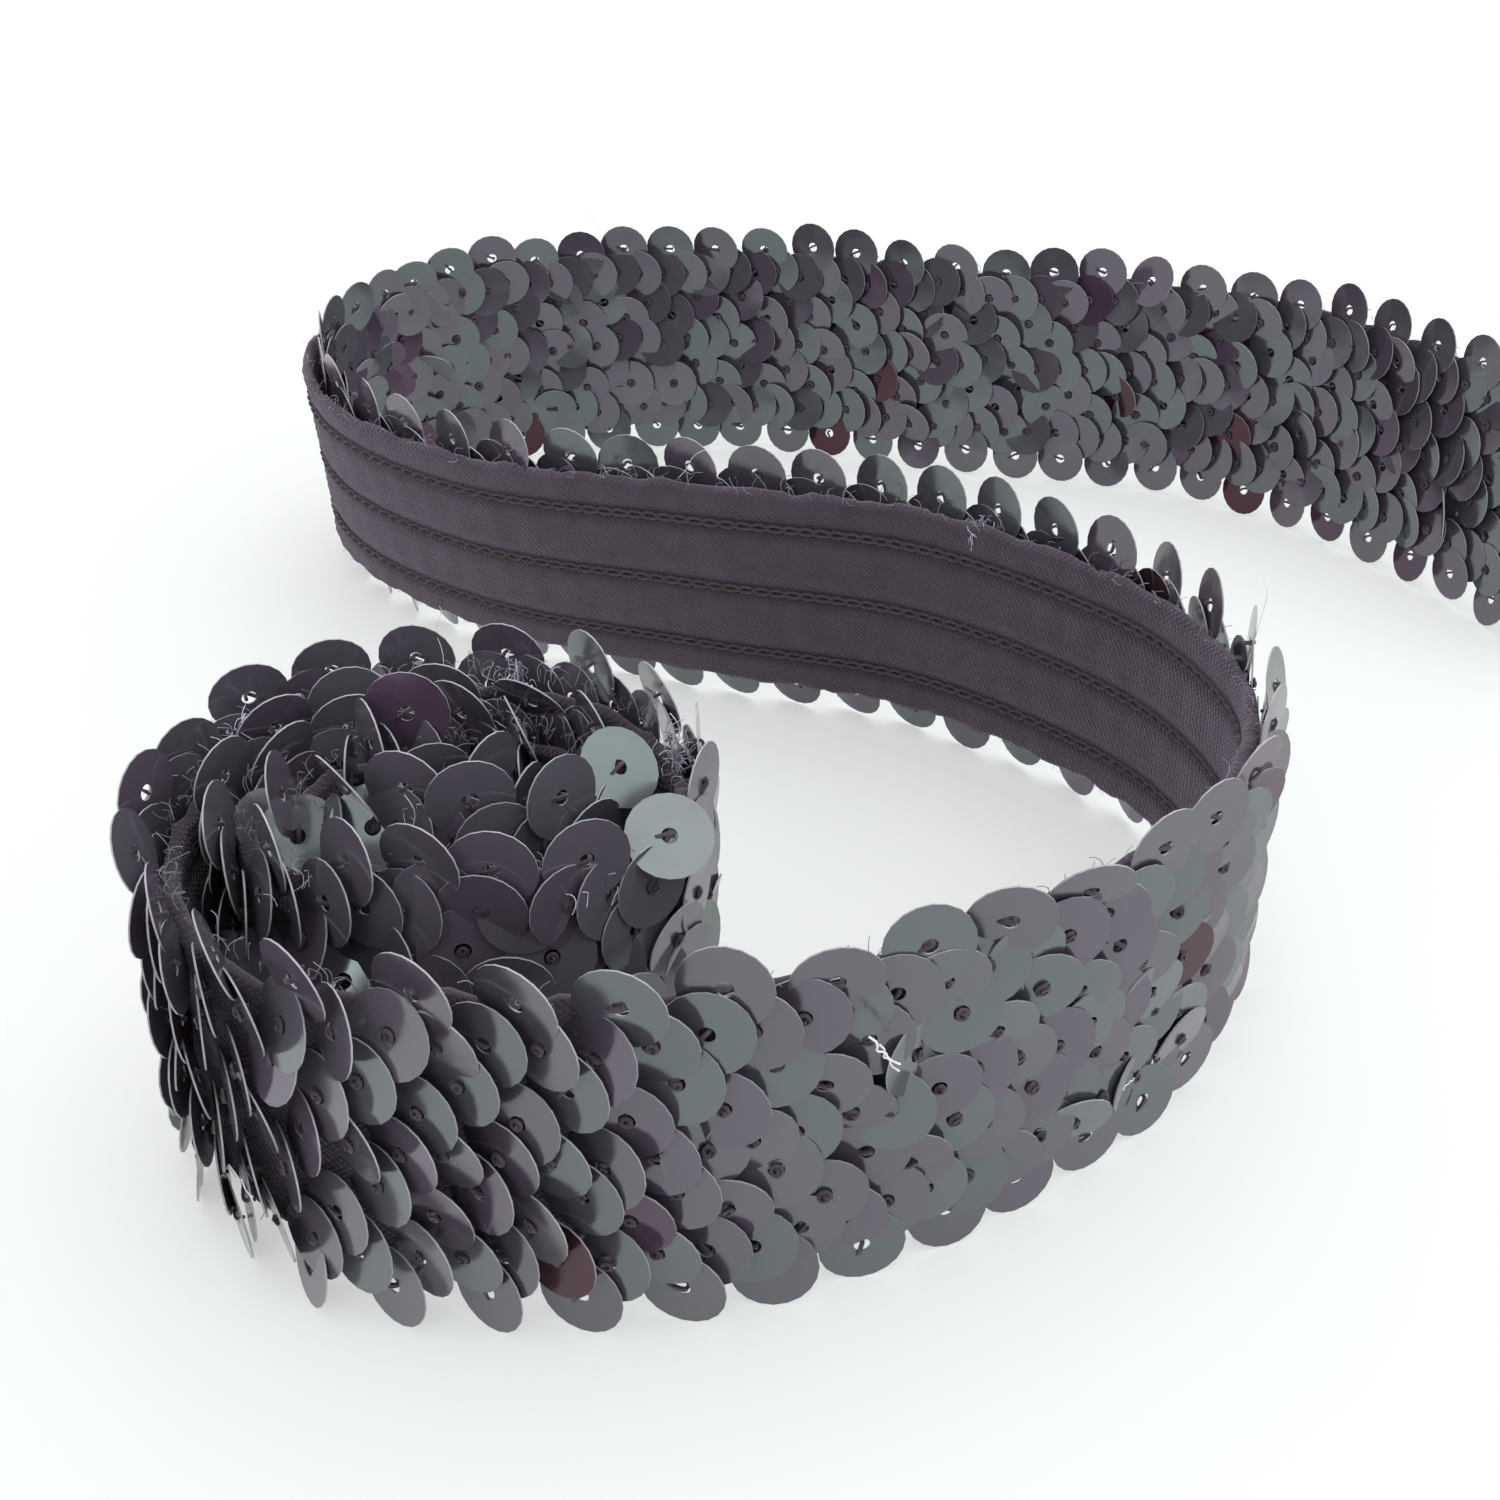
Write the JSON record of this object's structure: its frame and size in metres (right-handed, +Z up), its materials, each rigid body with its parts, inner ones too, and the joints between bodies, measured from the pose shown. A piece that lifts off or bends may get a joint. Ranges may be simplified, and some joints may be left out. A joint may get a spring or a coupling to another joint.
{
  "type": "sequin trim",
  "caption": "Stretch sequin trim on an elastic tape, one end wound in a small roll, the rest standing on edge in an S.",
  "frame": {"origin": "middle of the trim's box, on the surface that it stands on", "axes": "+Z up, along the trim's width; -Y towards the side where the roll stands; +X to the right of somebody who looks along +Y"},
  "size_m": [0.1472, 0.16, 0.0373],
  "materials": {
    "tape": "dull ribbed elastic, near black",
    "sequins": "glossy flat PVC discs, near black"
  },
  "bodies": {
    "root": {"wound_roll": "sequins", "elastic_tape": "tape", "sequin_row_bottom": "sequins", "sequin_row_middle": "sequins", "sequin_row_top": "sequins"}
  },
  "joints": []
}
